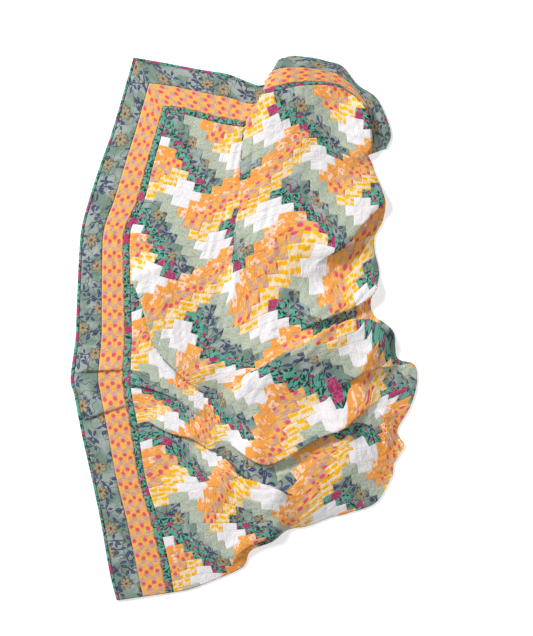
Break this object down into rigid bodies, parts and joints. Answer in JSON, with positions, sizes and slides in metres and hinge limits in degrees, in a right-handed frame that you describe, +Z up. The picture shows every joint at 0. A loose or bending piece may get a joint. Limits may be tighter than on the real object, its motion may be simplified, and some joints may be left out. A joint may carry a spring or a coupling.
{
  "type": "patchwork quilt",
  "caption": "Pieced cotton quilt with floral, orange and narrow borders, laid out in loose folds with its right side and foot turned down",
  "frame": {"origin": "middle of the quilt's outline, on the surface it lies on", "axes": "+Y towards the head end, +X to the right as seen from above, +Z up"},
  "size_m": [1.2112, 1.9036, 0.073],
  "materials": {
    "pieced_centre": "matt cotton",
    "border_inner_narrow": "matt cotton",
    "border_middle_orange": "matt cotton",
    "border_outer_floral": "matt cotton",
    "binding": "matt cotton"
  },
  "bodies": {
    "root": {"pieced_centre": "pieced_centre", "border_inner_narrow": "border_inner_narrow", "border_middle_orange": "border_middle_orange", "border_outer_floral": "border_outer_floral", "binding": "binding"}
  },
  "joints": []
}
